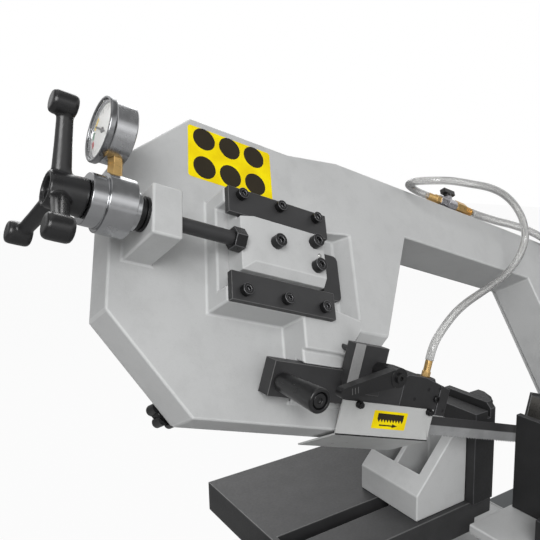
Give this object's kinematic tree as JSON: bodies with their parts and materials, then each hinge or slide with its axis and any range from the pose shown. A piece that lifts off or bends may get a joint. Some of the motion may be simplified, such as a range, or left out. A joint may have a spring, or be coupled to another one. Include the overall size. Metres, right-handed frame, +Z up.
{
  "type": "metal cutting band saw",
  "caption": "Horizontal mitring band saw for metal: leaning cast bow with twisted blade, screw tension with gauge, sliding blade guide, vise, feed cylinder and tank stand.",
  "frame": {"origin": "on the floor, in the middle of the stand's four floor bolts, under the mitre axis, which the fixed jaw's face and the blade's plane also pass near", "axes": "+Z up, +X along the level bow from its tension end to its drive end, -Y towards the user; the saw bow is stored raised by 18 degrees"},
  "size_m": [1.3056, 0.572, 1.4519],
  "materials": {
    "cast_iron_paint": "semi-gloss",
    "machine_paint_dark": "semi-gloss",
    "control_paint": "semi-gloss",
    "blackened_steel": "satin",
    "black_iron": "satin",
    "ground_steel": "ground",
    "blade_steel": "satin",
    "chrome": "polished",
    "black_plastic": "satin",
    "brass": "satin",
    "hose": "translucent",
    "dial": "printed",
    "lens": "clear",
    "green": "gloss",
    "red": "gloss",
    "wheel_iron": "machined",
    "motor_paint": "semi-gloss",
    "carbide": "ground"
  },
  "bodies": {
    "stand": {"cabinet": "machine_paint_dark", "base_casting": "cast_iron_paint", "vise_bed": "blackened_steel", "fixed_jaw": "black_iron", "control_box": "control_paint", "swivel_bolt": "ground_steel"},
    "door": {"cabinet_door": "machine_paint_dark"},
    "tank": {"coolant_tank": "machine_paint_dark"},
    "start": {"start_button": "green"},
    "stop": {"stop_button": "red"},
    "jaw": {"jaw_carriage": "cast_iron_paint", "left_jaw": "black_iron"},
    "vise_drive": {"vise_screw": "ground_steel", "vise_handwheel": "black_iron"},
    "crank_grip": {"crank_grip": "black_plastic"},
    "swivel": {"swivel_arm": "cast_iron_paint", "hinge_pin": "ground_steel"},
    "lock_lever": {"swivel_lever": "black_plastic"},
    "feed_barrel": {"feed_cylinder": "motor_paint"},
    "feed_rod": {"feed_rod": "ground_steel"},
    "bow": {"bow_frame": "cast_iron_paint", "cover_hinge_pins": "ground_steel", "slide_gibs": "blackened_steel", "gib_screws": "black_iron", "gearbox": "cast_iron_paint", "motor": "motor_paint", "blade": "blade_steel", "load_cell": "chrome", "spring_washers": "black_iron", "gauge_stem": "brass", "gauge_case": "chrome", "gauge_dial": "dial", "gauge_lens": "lens", "clamp_block": "blackened_steel", "fixed_guide": "blackened_steel", "coolant_valve": "chrome", "hose_fittings": "brass", "coolant_hose": "hose", "supply_hose": "hose"},
    "pointer": {"gauge_pointer": "black_plastic"},
    "cover": {"rear_cover": "cast_iron_paint"},
    "knob_left": {"cover_knob_left": "black_plastic"},
    "knob_right": {"cover_knob_right": "black_plastic"},
    "slide": {"slide_block": "cast_iron_paint", "slide_screws": "black_iron", "idler_axle": "ground_steel"},
    "idler": {"idler_wheel": "wheel_iron", "idler_bearings": "ground_steel"},
    "drive": {"drive_wheel": "wheel_iron", "drive_shaft": "ground_steel"},
    "spindle": {"tension_spindle": "blackened_steel", "tension_handle": "black_plastic"},
    "lever": {"clamp_lever": "black_plastic"},
    "guide": {"guide_bar": "blackened_steel", "bar_grip": "black_plastic", "guide_head": "black_iron", "guide_pads": "carbide", "blade_guard": "cast_iron_paint", "coolant_fitting": "brass"},
    "valve": {"valve_handle": "black_plastic"}
  },
  "joints": [
    {"name": "mitre_swivel", "type": "hinge", "parent": "stand", "child": "swivel", "pos_m": [0, 0, 0.722], "axis": [0, 0, 1], "range_deg": [0, 45]},
    {"name": "bow_hinge", "type": "hinge", "parent": "swivel", "child": "bow", "pos_m": [0.307, 0, 0.78012], "axis": [0, 1, 0], "range_deg": [-18, 30]},
    {"name": "feed_cylinder_swing", "type": "hinge", "parent": "swivel", "child": "feed_barrel", "pos_m": [0.12, -0.07686, 0.74], "axis": [0, 1, 0], "range_deg": [-5.6, 9.3]},
    {"name": "feed_rod_slide", "type": "slide", "parent": "feed_barrel", "child": "feed_rod", "axis": [0.6634, 0, 0.7482], "range_m": [-0.0345, 0.0572]},
    {"name": "cover_hinge", "type": "hinge", "parent": "bow", "child": "cover", "pos_m": [-0.15676, 0.19471, 1.32682], "axis": [0.9511, 0, -0.309], "range_deg": [0, 100]},
    {"name": "knob_left_turn", "type": "hinge", "parent": "cover", "child": "knob_left", "pos_m": [-0.53522, 0.01944, 1.12638], "axis": [0.1545, -0.866, 0.4755], "continuous": true},
    {"name": "knob_right_turn", "type": "hinge", "parent": "cover", "child": "knob_right", "pos_m": [0.46149, 0.01944, 0.80253], "axis": [0.1545, -0.866, 0.4755], "continuous": true},
    {"name": "guide_slide", "type": "slide", "parent": "bow", "child": "guide", "axis": [0.9511, 0, -0.309], "range_m": [-0.045, 0.028]},
    {"name": "clamp_lever_turn", "type": "hinge", "parent": "bow", "child": "lever", "pos_m": [-0.3064, -0.04886, 1.14135], "axis": [0, 1, 0], "range_deg": [0, 60]},
    {"name": "tension_turn", "type": "hinge", "parent": "bow", "child": "spindle", "pos_m": [-0.57342, 0.01384, 1.33889], "axis": [0.9511, 0, -0.309], "range_deg": [0, 1081]},
    {"name": "tension_slide", "type": "slide", "parent": "bow", "child": "slide", "axis": [0.9511, 0, -0.309], "range_m": [0, 0.006]},
    {"name": "gauge_pointer_turn", "type": "hinge", "parent": "bow", "child": "pointer", "pos_m": [-0.57499, 0.05534, 1.41498], "axis": [0.9511, 0, -0.309], "range_deg": [-76, 1]},
    {"name": "drive_spin", "type": "hinge", "parent": "bow", "child": "drive", "pos_m": [0.42578, 0.07446, 0.97742], "axis": [0.1545, -0.866, 0.4755], "continuous": true},
    {"name": "idler_spin", "type": "hinge", "parent": "slide", "child": "idler", "pos_m": [-0.40354, 0.07446, 1.24689], "axis": [0.1545, -0.866, 0.4755], "continuous": true},
    {"name": "valve_turn", "type": "hinge", "parent": "bow", "child": "valve", "pos_m": [0.00785, 0.13296, 1.30596], "axis": [0.2676, 0.5, 0.8236], "range_deg": [0, 90]},
    {"name": "vise_turn", "type": "hinge", "parent": "stand", "child": "vise_drive", "pos_m": [-0.4, 0.11, 0.788], "axis": [1, 0, 0], "range_deg": [0, 8775]},
    {"name": "jaw_slide", "type": "slide", "parent": "stand", "child": "jaw", "axis": [-1, 0, 0], "range_m": [0, 0.1951]},
    {"name": "crank_grip_spin", "type": "hinge", "parent": "vise_drive", "child": "crank_grip", "pos_m": [-0.44, 0.177, 0.788], "axis": [1, 0, 0], "continuous": true},
    {"name": "door_hinge", "type": "hinge", "parent": "stand", "child": "door", "pos_m": [-0.274, -0.21, 0.4], "axis": [0, 0, -1], "range_deg": [0, 110]},
    {"name": "tank_slide", "type": "slide", "parent": "stand", "child": "tank", "axis": [0, -1, 0], "range_m": [0, 0.3]},
    {"name": "start_press", "type": "slide", "parent": "stand", "child": "start", "axis": [0, 1, 0], "range_m": [0, 0.0025], "stiffness_N_per_m": 400, "springref_m": -0.003},
    {"name": "stop_press", "type": "slide", "parent": "stand", "child": "stop", "axis": [0, 1, 0], "range_m": [0, 0.0025], "stiffness_N_per_m": 400, "springref_m": -0.003},
    {"name": "lock_lever_turn", "type": "hinge", "parent": "swivel", "child": "lock_lever", "pos_m": [0, -0.096, 0.76], "axis": [0, 0, 1], "range_deg": [0, 45]}
  ],
  "couplings": [
    {"joint": "feed_cylinder_swing", "follows": "bow_hinge", "ratio": 0.30249},
    {"joint": "feed_rod_slide", "follows": "bow_hinge", "m_per_rad": 0.10823},
    {"joint": "tension_turn", "follows": "tension_slide", "rad_per_m": 3141.6},
    {"joint": "gauge_pointer_turn", "follows": "tension_slide", "rad_per_m": -218.17},
    {"joint": "idler_spin", "follows": "drive_spin", "ratio": 1},
    {"joint": "jaw_slide", "follows": "vise_turn", "m_per_rad": 0.0012732}
  ]
}
